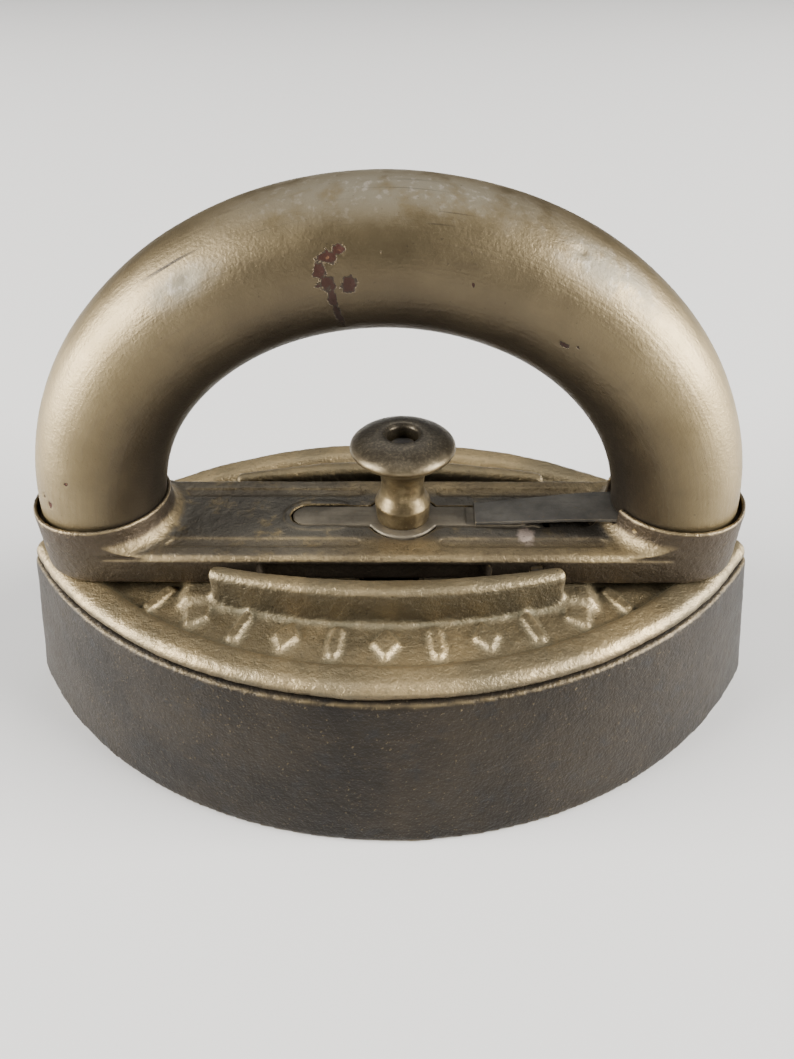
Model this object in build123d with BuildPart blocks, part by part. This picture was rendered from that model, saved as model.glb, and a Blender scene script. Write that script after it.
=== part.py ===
from build123d import *
import math
import os

# Sad iron with a cold handle that lifts off.
# Frame: origin at the middle of the sole, +X along the iron, +Z up.  All sizes in millimetres.

# ---------------------------------------------------------------- driving dimensions

SOLE_LENGTH = 164.0
SOLE_WIDTH = 93.2
RIM_LENGTH = 150.0
RIM_WIDTH = 81.8
TIP_RADIUS = 4.0
RIM = 33.5  # height of the casting's rim; most heights below are counted from it
SOLE_THICKNESS = 15.0
WALL = 5.0
SOLE_EDGE_ROUND = 0.5

CAP_INSET = 0.6  # the cap stands back this far from the edge of the rim
BEAD_WIDTH = 6.6
BEAD_TOP = RIM + 3.4
DISH_FLOOR = RIM + 1.2
PLUG_DEPTH = 2.5
PLUG_GAP = 0.4

COLLAR_TOP = RIM + 9.5
COLLAR_HALF_LENGTH = 34.0
COLLAR_MIDDLE_Y = 18.2
COLLAR_END_Y = 13.8
COLLAR_MIDDLE_WALL = 4.2
COLLAR_END_WALL = 3.4

PAD_START_X = 22.0  # the pads stand up round the ends of the collars, under the yoke
PAD_END_X = 41.0
PAD_HALF_WIDTH = 18.6
PAD_TOP = RIM + 3.2
PAD_DRAFT = 42.0

WELL_FLOOR = RIM - 13.0
WELL_FLOOR_THICKNESS = 3.5
WELL_WALL = 3.0
WELL_HALF_LENGTH = 42.5
WELL_END_WIDTH = 17.0
WELL_WIDE_HALF_LENGTH = 31.5
WELL_MIDDLE_Y = 17.2
WELL_WIDE_END_Y = 13.0

YOKE_BOTTOM = RIM + 3.7
BAR_TOP = RIM + 10.2
CUP_TOP = RIM + 15.9
CUP_X = 57.2
CUP_RADIUS = 13.4
SEAT = RIM + 13.3  # where the feet of the grip stand
SEAT_RADIUS = 12.6
FLARE_RADIUS = 3.2

GRIP_RADIUS = 12.25
GRIP_HALF_SPAN = 57.2
GRIP_RISE = 54.0
GRIP_CENTRE = RIM + 10.1
SPIGOT_RADIUS = 7.5
SPIGOT_LENGTH = 4.0
SCREW_RADIUS = 1.9
SCREW_HEAD_RADIUS = 4.2
SCREW_LENGTH = 26.0
SCREW_POINT = 1.6
SCREW_TIP_GAP = 1.0

PIVOT_X = 29.0
PIVOT = RIM + 7.0
PIN_RADIUS = 1.5
PIN_LENGTH = 25.4
PIN_FIT = 0.01
PIN_EDGE = 0.3
EYE_RADIUS = 3.1
LEVER_WIDTH = 6.3
LEVER_BOTTOM = RIM + 7.4
LEVER_TOP = RIM + 10.45
LEVER_STEP_X = 15.6
LEVER_STEP = 0.2
LEVER_ROUND = 0.4
TONGUE_END = -19.5
BOSS_X = 3.0
BOSS_RADIUS = 7.2
HOOK_BOTTOM = RIM - 6.5
HOOK_SHANK = 4.0
NOSE_END = 33.7
NOSE_HEIGHT = 3.1
NOSE_EDGE = 1.0  # height of the nose's upright end

SLOT_GAP = 0.35
SLOT_FLOOR = RIM + 7.0

KNOB_RADIUS = 10.15
KNOB_HEIGHT = 19.4
KNOB_HOLE_RADIUS = 3.1
KNOB_HOLE_DEPTH = 3.2
RIVET_RADIUS = 2.0

SPRING_THICKNESS = 0.7
SPRING_TIP_X = 17.5
SPRING_TIP = RIM + 10.45  # underside at the free end
SPRING_ROOT = RIM + 12.25  # underside under the grip
SPRING_BEND_X = 45.0
SPRING_END_X = 49.2
SPRING_TIP_WIDTH = 6.8
SPRING_ROOT_WIDTH = 9.6
SPRING_TIP_SLOPE = 0.045

KEEPER_WIDTH = 12.0
KEEPER_TAIL_ROUND = 3.0
KEEPER_THICKNESS = 3.0
KEEPER_LIP_X = 34.0
KEEPER_POST_X = 36.5
BOLT_RADIUS = 4.0
BOLT_HEAD_RADIUS = 6.5
BOLT_HEAD_HEIGHT = 4.0
BOLT_HEAD_ROUND = 1.4
BOLT_SLOT_WIDTH = 1.6
BOLT_SLOT_DEPTH = 1.6
WASHER_RADIUS = 8.0
WASHER_THICKNESS = 1.5
WASHER_EDGE = 0.4
BOLT_TIP = 6.0  # height of the bolt's end above the underside of the sole
BOLT_HOLE_GAP = 0.3
BOSS_OF_SOLE_RADIUS = 9.0
FILL_GAP = 0.3
KEEPER_RIVET_X = 24.0
KEEPER_RIVET_SPACING = 6.4
KEEPER_RIVET_RADIUS = 1.5
KEEPER_RIVET_DEPTH = 2.5
KEEPER_RIVET_HEAD_RADIUS = 2.6
KEEPER_RIVET_HEAD_HEIGHT = 1.6
KEEPER_RIVET_HEAD_ROUND = 1.2
KEEPER_TAIL_X = -9.0
KEEPER_TOP = RIM - 0.2
KEEPER_LIP_THICKNESS = 2.9

BAR_ROUND = 1.5
LIP_ROUND = 0.35
RECESS = (-25.0, 20.0)  # ends of the long recess in each side of the bar
RECESS_DEPTH = 1.3
RECESS_TOP = RIM + 8.3
FLUTE_Y = 8.5
FLUTE_WIDTH = 3.0
FLUTE_DEPTH = 0.5
FLUTES = ((-44.0, -5.0), (10.0, 43.0))  # ends of the left and the right flutes
FLUTE_DRAFT = 30.0
SLOT_LIP_WIDTH = 1.5
SLOT_LIP_HEIGHT = 0.4
SLOT_LIP_END_X = -8.0
SLOT_LIP_DRAFT = 30.0
THROUGH_SLOT = (21.5, 33.2)
POCKET_END_X = 42.3
RIVET_POCKET_RADIUS = 4.2
SPIGOT_GAP = 0.1
SPIGOT_OVERLAP = 1.0  # the spigots run this far up into the feet of the grip
NOTCH_GAP = 0.3
NOTCH_START_X = 42.5
SCREW_HOLE_GAP = 0.1
DRIVE_SLOT_WIDTH = 1.2
DRIVE_SLOT_DEPTH = 1.0

KNOB_FOOT_RADIUS = 5.3
KNOB_BAND_RADIUS = 5.6
KNOB_CONE_RADIUS = 4.45
KNOB_NECK_RADIUS = 4.25
KNOB_WAIST_RADIUS = 5.4
KNOB_CROWN_RADIUS = 6.1
KNOB_BAND_HEIGHT = 3.8
KNOB_CONE_HEIGHT = 6.2
KNOB_NECK_HEIGHT = 8.6
KNOB_WAIST_HEIGHT = 12.2
KNOB_WIDEST_HEIGHT = 16.6
KNOB_CROWN_HEIGHT = 19.2
KNOB_HOLE_EDGE = 0.6
RIVET_HEAD_RADIUS = 3.2
RIVET_HEAD_HEIGHT = 1.0
RIVET_END_RADIUS = 2.7
RIVET_END_HEIGHT = 0.7
RIVET_ROUND = 0.5
RUNNING_GAP = 0.05

BEAD_FOOT_CHAMFER = 0.8  # leaves a dark groove between the cap and the rim
BEAD_OUTER_ROUND = 2.2
BEAD_INNER_ROUND = 1.9
COLLAR_TOP_ROUND = 1.4
COLLAR_END_ROUND = 1.6

ORNAMENTS_EACH_WAY = 5
ORNAMENT_STEP = 6.1  # degrees round the dished band
ORNAMENT_ARC_RADIUS = 88.0
ORNAMENT_ARC_DROP = 60.2
ORNAMENT_HEIGHT = 8.0
LOZENGE_WIDTH = 5.6
ORNAMENT_BAR_WIDTH = 2.6
ORNAMENT_RISE = 1.0
ORNAMENT_DRAFT = 20.0

os.makedirs("parts", exist_ok=True)


# ---------------------------------------------------------------- outlines


def pointed_oval(length, width, inset=0.0, tip_radius=TIP_RADIUS):
    """Two equal arcs that meet in rounded tips: length by width, then moved inwards by inset."""
    half_length = length / 2
    half_width = width / 2
    outer_radius = (half_length**2 + half_width**2 - 2 * half_length * TIP_RADIUS) / (
        2 * (half_width - TIP_RADIUS)
    )
    drop = outer_radius - half_width  # from the middle of the oval to the centre of a side arc
    side_radius = outer_radius - inset
    tip_centre = math.sqrt((side_radius - tip_radius) ** 2 - drop**2)
    tip_x = tip_centre + tip_radius
    side_y = half_width - inset
    stretch = side_radius / (side_radius - tip_radius)
    join_x = tip_centre * stretch
    join_y = drop * (stretch - 1)
    with BuildSketch() as outline:
        with BuildLine():
            ThreePointArc((-join_x, join_y), (0, side_y), (join_x, join_y))
            ThreePointArc((join_x, join_y), (tip_x, 0), (join_x, -join_y))
            ThreePointArc((join_x, -join_y), (0, -side_y), (-join_x, -join_y))
            ThreePointArc((-join_x, -join_y), (-tip_x, 0), (-join_x, join_y))
        make_face()
    return outline.sketch


def well_outline(margin=0.0):
    """The mouth of the latch well: wide between the collars, narrow under the bar of the yoke."""
    x = WELL_WIDE_HALF_LENGTH
    with BuildSketch() as outline:
        SlotOverall(2 * WELL_HALF_LENGTH, WELL_END_WIDTH)
        with BuildLine():
            ThreePointArc((-x, WELL_WIDE_END_Y), (0, WELL_MIDDLE_Y), (x, WELL_WIDE_END_Y))
            Line((x, WELL_WIDE_END_Y), (x, -WELL_WIDE_END_Y))
            ThreePointArc((x, -WELL_WIDE_END_Y), (0, -WELL_MIDDLE_Y), (-x, -WELL_WIDE_END_Y))
            Line((-x, -WELL_WIDE_END_Y), (-x, WELL_WIDE_END_Y))
        make_face()
        if margin > 0:
            offset(amount=margin)
    return outline.sketch


def collar_outline():
    """The back collar wall in plan; the front one is the same, turned half round."""
    x = COLLAR_HALF_LENGTH
    outer_end_y = COLLAR_END_Y + COLLAR_END_WALL
    outer_middle_y = COLLAR_MIDDLE_Y + COLLAR_MIDDLE_WALL
    with BuildSketch() as outline:
        with BuildLine():
            ThreePointArc((-x, COLLAR_END_Y), (0, COLLAR_MIDDLE_Y), (x, COLLAR_END_Y))
            Line((x, COLLAR_END_Y), (x, outer_end_y))
            ThreePointArc((x, outer_end_y), (0, outer_middle_y), (-x, outer_end_y))
            Line((-x, outer_end_y), (-x, COLLAR_END_Y))
        make_face()
        fillet(outline.vertices(), radius=COLLAR_END_ROUND)
    return outline.sketch


def ornament_row():
    """Lozenges and bars in turn, along the back half of the dished band."""
    half_width = LOZENGE_WIDTH / 2
    half_height = ORNAMENT_HEIGHT / 2
    with BuildSketch() as row:
        for place in range(-ORNAMENTS_EACH_WAY, ORNAMENTS_EACH_WAY + 1):
            turn = math.radians(place * ORNAMENT_STEP)
            centre_x = ORNAMENT_ARC_RADIUS * math.sin(turn)
            centre_y = ORNAMENT_ARC_RADIUS * math.cos(turn) - ORNAMENT_ARC_DROP
            with Locations(Location((centre_x, centre_y, 0), (0, 0, -place * ORNAMENT_STEP))):
                if place % 2 == 0:
                    Polygon((0, -half_height), (half_width, 0), (0, half_height), (-half_width, 0))
                else:
                    SlotOverall(ORNAMENT_HEIGHT, ORNAMENT_BAR_WIDTH, rotation=90)
    return row.sketch


# ---------------------------------------------------------------- base: body casting

# The outline at the top of the thick sole, part of the way up the sloping wall.
sole_share = SOLE_THICKNESS / RIM
sole_top_length = SOLE_LENGTH + (RIM_LENGTH - SOLE_LENGTH) * sole_share
sole_top_width = SOLE_WIDTH + (RIM_WIDTH - SOLE_WIDTH) * sole_share
well_underside = WELL_FLOOR - WELL_FLOOR_THICKNESS

with BuildPart() as body_casting:
    with BuildSketch(Plane.XY):
        add(pointed_oval(SOLE_LENGTH, SOLE_WIDTH))
    with BuildSketch(Plane.XY.offset(RIM)):
        add(pointed_oval(RIM_LENGTH, RIM_WIDTH))
    loft(ruled=True)
    fillet(body_casting.faces().sort_by(Axis.Z)[0].edges(), radius=SOLE_EDGE_ROUND)
    with BuildSketch(Plane.XY.offset(SOLE_THICKNESS)):
        add(pointed_oval(sole_top_length, sole_top_width, inset=WALL))
    with BuildSketch(Plane.XY.offset(RIM)):
        add(pointed_oval(RIM_LENGTH, RIM_WIDTH, inset=WALL))
    loft(ruled=True, mode=Mode.SUBTRACT)
    with BuildSketch(Plane.XY.offset(SOLE_THICKNESS)):
        Circle(BOSS_OF_SOLE_RADIUS)
    extrude(amount=well_underside - SOLE_THICKNESS)
    with BuildSketch(Plane.XY.offset(well_underside)):
        Circle(BOLT_RADIUS)
    extrude(amount=BOLT_TIP - well_underside, mode=Mode.SUBTRACT)
body_casting.part.label = "body_casting"
export_step(body_casting.part, "parts/body_casting.step")

# ---------------------------------------------------------------- base: filling

with BuildPart() as insulating_fill:
    with BuildSketch(Plane.XY.offset(SOLE_THICKNESS)):
        add(pointed_oval(sole_top_length, sole_top_width, inset=WALL + FILL_GAP))
    with BuildSketch(Plane.XY.offset(RIM)):
        add(pointed_oval(RIM_LENGTH, RIM_WIDTH, inset=WALL + FILL_GAP))
    loft(ruled=True)
    with BuildSketch(Plane.XY.offset(RIM - PLUG_DEPTH)):
        Rectangle(RIM_LENGTH, RIM_WIDTH)
    extrude(amount=PLUG_DEPTH, mode=Mode.SUBTRACT)
    with BuildSketch(Plane.XY.offset(well_underside)):
        add(well_outline(WELL_WALL + FILL_GAP))
    extrude(amount=RIM - well_underside, mode=Mode.SUBTRACT)
    with BuildSketch(Plane.XY.offset(SOLE_THICKNESS)):
        Circle(BOSS_OF_SOLE_RADIUS + FILL_GAP)
    extrude(amount=RIM - SOLE_THICKNESS, mode=Mode.SUBTRACT)
insulating_fill.part.label = "insulating_fill"
export_step(insulating_fill.part, "parts/insulating_fill.step")

# ---------------------------------------------------------------- base: cap plate

with BuildPart() as collar_walls:
    with BuildSketch(Plane.XY.offset(DISH_FLOOR)):
        with PolarLocations(0, 2):
            add(collar_outline())
    extrude(amount=COLLAR_TOP - DISH_FLOOR)
    fillet(collar_walls.faces().group_by(Axis.Z)[-1].edges(), radius=COLLAR_TOP_ROUND)

with BuildPart() as cap_plate:
    with BuildSketch(Plane.XY.offset(RIM)):
        add(pointed_oval(RIM_LENGTH, RIM_WIDTH, CAP_INSET, TIP_RADIUS - CAP_INSET))
    extrude(amount=BEAD_TOP - RIM)
    chamfer(cap_plate.faces().sort_by(Axis.Z)[0].edges(), length=BEAD_FOOT_CHAMFER)
    fillet(cap_plate.faces().sort_by(Axis.Z)[-1].edges(), radius=BEAD_OUTER_ROUND)
    with BuildSketch(Plane.XY.offset(DISH_FLOOR)):
        add(pointed_oval(RIM_LENGTH, RIM_WIDTH, CAP_INSET + BEAD_WIDTH))
    extrude(amount=BEAD_TOP - DISH_FLOOR, mode=Mode.SUBTRACT)
    fillet(cap_plate.edges().group_by(Axis.Z)[-1], radius=BEAD_INNER_ROUND)
    with BuildSketch(Plane.XY.offset(RIM - PLUG_DEPTH)):
        add(pointed_oval(RIM_LENGTH, RIM_WIDTH, inset=WALL + PLUG_GAP))
    extrude(amount=PLUG_DEPTH)
    with BuildSketch(Plane.XY.offset(well_underside)):
        add(well_outline(WELL_WALL))
    extrude(amount=RIM - well_underside)
    with BuildSketch(Plane.XY.offset(DISH_FLOOR)):
        with GridLocations(PAD_START_X + PAD_END_X, 0, 2, 1):
            Rectangle(PAD_END_X - PAD_START_X, 2 * PAD_HALF_WIDTH)
    extrude(amount=PAD_TOP - DISH_FLOOR, taper=PAD_DRAFT)
    add(collar_walls.part)
    with BuildSketch(Plane.XY.offset(DISH_FLOOR)):
        with PolarLocations(0, 2):
            add(ornament_row())
    extrude(amount=ORNAMENT_RISE, taper=ORNAMENT_DRAFT)
    with BuildSketch(Plane.XY.offset(WELL_FLOOR)):
        add(well_outline())
    extrude(amount=PAD_TOP - WELL_FLOOR, mode=Mode.SUBTRACT)
    with BuildSketch(Plane.XY.offset(well_underside)):
        Circle(BOLT_RADIUS + BOLT_HOLE_GAP)
    extrude(amount=WELL_FLOOR_THICKNESS, mode=Mode.SUBTRACT)
    with BuildSketch(Plane.XY.offset(WELL_FLOOR - KEEPER_RIVET_DEPTH)):
        with Locations((KEEPER_RIVET_X, 0)):
            with GridLocations(0, KEEPER_RIVET_SPACING, 1, 2):
                Circle(KEEPER_RIVET_RADIUS)
    extrude(amount=KEEPER_RIVET_DEPTH, mode=Mode.SUBTRACT)
cap_plate.part.label = "cap_plate"
export_step(cap_plate.part, "parts/cap_plate.step")

# ---------------------------------------------------------------- base: keeper and fasteners

keeper_foot_top = WELL_FLOOR + KEEPER_THICKNESS
keeper_post_end = KEEPER_POST_X + KEEPER_THICKNESS

with BuildPart() as keeper_bracket:
    with BuildSketch(Plane.XZ):
        with BuildLine():
            Polyline(
                (KEEPER_TAIL_X, WELL_FLOOR),
                (keeper_post_end, WELL_FLOOR),
                (keeper_post_end, KEEPER_TOP),
                (KEEPER_LIP_X, KEEPER_TOP),
                (KEEPER_LIP_X, KEEPER_TOP - KEEPER_LIP_THICKNESS),
                (KEEPER_POST_X, KEEPER_TOP - KEEPER_LIP_THICKNESS),
                (KEEPER_POST_X, keeper_foot_top),
                (KEEPER_TAIL_X, keeper_foot_top),
                close=True,
            )
        make_face()
    extrude(amount=KEEPER_WIDTH / 2, both=True)
    fillet(keeper_bracket.edges().filter_by(Axis.Z).group_by(Axis.X)[0], radius=KEEPER_TAIL_ROUND)
    with BuildSketch(Plane.XY.offset(WELL_FLOOR)):
        Circle(BOLT_RADIUS + BOLT_HOLE_GAP)
        with Locations((KEEPER_RIVET_X, 0)):
            with GridLocations(0, KEEPER_RIVET_SPACING, 1, 2):
                Circle(KEEPER_RIVET_RADIUS)
    extrude(amount=KEEPER_THICKNESS, mode=Mode.SUBTRACT)
keeper_bracket.part.label = "keeper_bracket"
export_step(keeper_bracket.part, "parts/keeper_bracket.step")

with BuildPart() as keeper_rivets:
    with BuildSketch(Plane.XY.offset(WELL_FLOOR - KEEPER_RIVET_DEPTH)):
        with Locations((KEEPER_RIVET_X, 0)):
            with GridLocations(0, KEEPER_RIVET_SPACING, 1, 2):
                Circle(KEEPER_RIVET_RADIUS)
    extrude(amount=KEEPER_RIVET_DEPTH + KEEPER_THICKNESS)
    with BuildSketch(Plane.XY.offset(keeper_foot_top)):
        with Locations((KEEPER_RIVET_X, 0)):
            with GridLocations(0, KEEPER_RIVET_SPACING, 1, 2):
                Circle(KEEPER_RIVET_HEAD_RADIUS)
    extrude(amount=KEEPER_RIVET_HEAD_HEIGHT)
    fillet(keeper_rivets.faces().group_by(Axis.Z)[-1].edges(), radius=KEEPER_RIVET_HEAD_ROUND)
keeper_rivets.part.label = "keeper_rivets"
export_step(keeper_rivets.part, "parts/keeper_rivets.step")

washer_top = keeper_foot_top + WASHER_THICKNESS

with BuildPart() as cap_bolt_washer:
    with BuildSketch(Plane.XY.offset(keeper_foot_top)):
        Circle(WASHER_RADIUS)
        Circle(BOLT_RADIUS + BOLT_HOLE_GAP, mode=Mode.SUBTRACT)
    extrude(amount=WASHER_THICKNESS)
    chamfer(cap_bolt_washer.faces().sort_by(Axis.Z)[-1].outer_wire().edges(), length=WASHER_EDGE)
cap_bolt_washer.part.label = "cap_bolt_washer"
export_step(cap_bolt_washer.part, "parts/cap_bolt_washer.step")

with BuildPart() as cap_bolt:
    with BuildSketch(Plane.XY.offset(BOLT_TIP)):
        Circle(BOLT_RADIUS)
    extrude(amount=washer_top - BOLT_TIP)
    with BuildSketch(Plane.XY.offset(washer_top)):
        Circle(BOLT_HEAD_RADIUS)
    extrude(amount=BOLT_HEAD_HEIGHT)
    fillet(cap_bolt.faces().sort_by(Axis.Z)[-1].edges(), radius=BOLT_HEAD_ROUND)
    with BuildSketch(Plane.XY.offset(washer_top + BOLT_HEAD_HEIGHT)):
        Rectangle(2 * WASHER_RADIUS, BOLT_SLOT_WIDTH)
    extrude(amount=-BOLT_SLOT_DEPTH, mode=Mode.SUBTRACT)
cap_bolt.part.label = "cap_bolt"
export_step(cap_bolt.part, "parts/cap_bolt.step")

# ---------------------------------------------------------------- handle: yoke

yoke_length = 2 * (CUP_X + CUP_RADIUS)
yoke_width = 2 * CUP_RADIUS
pocket_width = LEVER_WIDTH + 2 * SLOT_GAP
pocket_end = TONGUE_END - SLOT_GAP
pocket_length = POCKET_END_X - pocket_end
notch_end = SPRING_END_X + NOTCH_GAP

with BuildPart() as handle_yoke:
    with BuildSketch(Plane.XY.offset(YOKE_BOTTOM)):
        SlotOverall(yoke_length, yoke_width)
    extrude(amount=BAR_TOP - YOKE_BOTTOM)
    fillet(handle_yoke.faces().sort_by(Axis.Z)[-1].edges(), radius=BAR_ROUND)
    # The cups, each with a concave flare that runs down to the top of the bar.
    for side in (-1, 1):
        with BuildSketch(Plane.XZ):
            with BuildLine():
                Polyline(
                    (side * CUP_X, BAR_TOP),
                    (side * CUP_X, CUP_TOP),
                    (side * CUP_X - side * CUP_RADIUS, CUP_TOP),
                    (side * CUP_X - side * CUP_RADIUS, BAR_TOP + FLARE_RADIUS),
                )
                RadiusArc(
                    (side * CUP_X - side * CUP_RADIUS, BAR_TOP + FLARE_RADIUS),
                    (side * CUP_X - side * (CUP_RADIUS + FLARE_RADIUS), BAR_TOP),
                    side * FLARE_RADIUS,
                )
                Line(
                    (side * CUP_X - side * (CUP_RADIUS + FLARE_RADIUS), BAR_TOP),
                    (side * CUP_X, BAR_TOP),
                )
            make_face()
        revolve(axis=Axis((side * CUP_X, 0, 0), (0, 0, 1)))
    with BuildSketch(Plane.XY.offset(YOKE_BOTTOM)):
        with Locations((-CUP_X, 0), (CUP_X, 0)):
            Circle(CUP_RADIUS)
    extrude(amount=CUP_TOP - YOKE_BOTTOM)
    with BuildSketch(Plane.XY.offset(YOKE_BOTTOM)):
        SlotOverall(yoke_length, yoke_width)
    extrude(amount=CUP_TOP - YOKE_BOTTOM, mode=Mode.INTERSECT)
    fillet(handle_yoke.faces().group_by(Axis.Z)[-1].edges(), radius=LIP_ROUND)
    # Seats for the feet of the grip, sockets for its spigots, holes for its screws.
    with BuildSketch(Plane.XY.offset(SEAT)):
        with Locations((-CUP_X, 0), (CUP_X, 0)):
            Circle(SEAT_RADIUS)
    extrude(amount=CUP_TOP - SEAT, mode=Mode.SUBTRACT)
    with BuildSketch(Plane.XY.offset(SEAT)):
        with Locations((-GRIP_HALF_SPAN, 0), (GRIP_HALF_SPAN, 0)):
            Circle(SPIGOT_RADIUS + SPIGOT_GAP)
    extrude(amount=-SPIGOT_LENGTH - SPIGOT_GAP, mode=Mode.SUBTRACT)
    with Locations(Plane.XY.offset(YOKE_BOTTOM)):
        with Locations((-GRIP_HALF_SPAN, 0), (GRIP_HALF_SPAN, 0)):
            Cylinder(
                SCREW_RADIUS + SCREW_HOLE_GAP,
                SEAT - YOKE_BOTTOM,
                align=(Align.CENTER, Align.CENTER, Align.MIN),
                mode=Mode.SUBTRACT,
            )
            Cone(
                SCREW_HEAD_RADIUS + SCREW_HOLE_GAP,
                SCREW_RADIUS + SCREW_HOLE_GAP,
                SCREW_HEAD_RADIUS - SCREW_RADIUS,
                align=(Align.CENTER, Align.CENTER, Align.MIN),
                mode=Mode.SUBTRACT,
            )
    # The raised lip round the left end of the latch slot.
    with BuildSketch(Plane.XY.offset(BAR_TOP)):
        with Locations(((pocket_end + SLOT_LIP_END_X) / 2, 0)):
            SlotOverall(
                SLOT_LIP_END_X - pocket_end + 2 * SLOT_LIP_WIDTH,
                pocket_width + 2 * SLOT_LIP_WIDTH,
            )
    extrude(amount=SLOT_LIP_HEIGHT, taper=SLOT_LIP_DRAFT)
    # The pocket that the latch lies in, and the slot for its hook.
    with BuildSketch(Plane.XY.offset(SLOT_FLOOR)):
        with Locations(((pocket_end + POCKET_END_X) / 2, 0)):
            SlotOverall(pocket_length, pocket_width)
        with Locations((BOSS_X, 0)):
            Circle(BOSS_RADIUS + SLOT_GAP)
    extrude(amount=CUP_TOP - SLOT_FLOOR, mode=Mode.SUBTRACT)
    with BuildSketch(Plane.XY.offset(YOKE_BOTTOM)):
        with Locations(((THROUGH_SLOT[0] + THROUGH_SLOT[1]) / 2, 0)):
            Rectangle(THROUGH_SLOT[1] - THROUGH_SLOT[0], pocket_width)
        with Locations((BOSS_X, 0)):
            Circle(RIVET_POCKET_RADIUS)
    extrude(amount=CUP_TOP - YOKE_BOTTOM, mode=Mode.SUBTRACT)
    with Locations(Location((PIVOT_X, 0, PIVOT), (90, 0, 0))):
        Cylinder(PIN_RADIUS, yoke_width, mode=Mode.SUBTRACT)
    # Long recesses in both sides, and the flutes in the top.
    with BuildSketch(Plane.XY.offset(YOKE_BOTTOM)):
        with Locations(((RECESS[0] + RECESS[1]) / 2, 0)):
            with GridLocations(0, yoke_width, 1, 2):
                Rectangle(RECESS[1] - RECESS[0], 2 * RECESS_DEPTH)
    extrude(amount=RECESS_TOP - YOKE_BOTTOM, mode=Mode.SUBTRACT)
    with BuildSketch(Plane.XY.offset(BAR_TOP)):
        for start, end in FLUTES:
            with Locations(((start + end) / 2, 0)):
                with GridLocations(0, 2 * FLUTE_Y, 1, 2):
                    SlotOverall(end - start, FLUTE_WIDTH)
    extrude(amount=-FLUTE_DEPTH, taper=FLUTE_DRAFT, mode=Mode.SUBTRACT)
    # The notch that lets the leaf spring in under the right foot of the grip.
    with BuildSketch(Plane.XY.offset(SPRING_ROOT - NOTCH_GAP)):
        with Locations(((NOTCH_START_X + notch_end) / 2, 0)):
            Rectangle(notch_end - NOTCH_START_X, SPRING_ROOT_WIDTH + 2 * NOTCH_GAP)
    extrude(amount=CUP_TOP - SPRING_ROOT + NOTCH_GAP, mode=Mode.SUBTRACT)
handle_yoke.part.label = "handle_yoke"
export_step(handle_yoke.part, "parts/handle_yoke.step")

# ---------------------------------------------------------------- handle: grip and its screws

screw_hole_depth = YOKE_BOTTOM + SCREW_LENGTH + SCREW_TIP_GAP - (SEAT - SPIGOT_LENGTH)

with BuildPart() as wooden_grip:
    with BuildLine(Plane.XZ) as grip_line:
        EllipticalCenterArc((0, GRIP_CENTRE), GRIP_HALF_SPAN, GRIP_RISE, arc_size=180)
    with BuildSketch(Plane(origin=grip_line.line @ 0, z_dir=grip_line.line % 0)):
        Circle(GRIP_RADIUS)
    sweep()
    split(bisect_by=Plane.XY.offset(SEAT), keep=Keep.TOP)
    with BuildSketch(Plane.XY.offset(SEAT - SPIGOT_LENGTH)):
        with Locations((-GRIP_HALF_SPAN, 0), (GRIP_HALF_SPAN, 0)):
            Circle(SPIGOT_RADIUS)
    extrude(amount=SPIGOT_LENGTH + SPIGOT_OVERLAP)
    with BuildSketch(Plane.XY.offset(SEAT - SPIGOT_LENGTH)):
        with Locations((-GRIP_HALF_SPAN, 0), (GRIP_HALF_SPAN, 0)):
            Circle(SCREW_RADIUS + SCREW_HOLE_GAP)
    extrude(amount=screw_hole_depth, mode=Mode.SUBTRACT)
wooden_grip.part.label = "wooden_grip"
export_step(wooden_grip.part, "parts/wooden_grip.step")

for name, side in (("left_grip_screw", -1), ("right_grip_screw", 1)):
    with BuildPart() as grip_screw:
        with Locations((side * GRIP_HALF_SPAN, 0, YOKE_BOTTOM)):
            Cylinder(SCREW_RADIUS, SCREW_LENGTH, align=(Align.CENTER, Align.CENTER, Align.MIN))
            Cone(
                SCREW_HEAD_RADIUS,
                SCREW_RADIUS,
                SCREW_HEAD_RADIUS - SCREW_RADIUS,
                align=(Align.CENTER, Align.CENTER, Align.MIN),
            )
            Box(
                2 * SCREW_HEAD_RADIUS,
                DRIVE_SLOT_WIDTH,
                2 * DRIVE_SLOT_DEPTH,
                mode=Mode.SUBTRACT,
            )
        chamfer(grip_screw.faces().sort_by(Axis.Z)[-1].edges(), length=SCREW_POINT)
    grip_screw.part.label = name
    export_step(grip_screw.part, f"parts/{name}.step")

with BuildPart() as latch_pivot_pin:
    with Locations(Location((PIVOT_X, 0, PIVOT), (90, 0, 0))):
        Cylinder(PIN_RADIUS - PIN_FIT, PIN_LENGTH)
    chamfer(latch_pivot_pin.edges(), length=PIN_EDGE)
latch_pivot_pin.part.label = "latch_pivot_pin"
export_step(latch_pivot_pin.part, "parts/latch_pivot_pin.step")

# ---------------------------------------------------------------- latch

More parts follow.
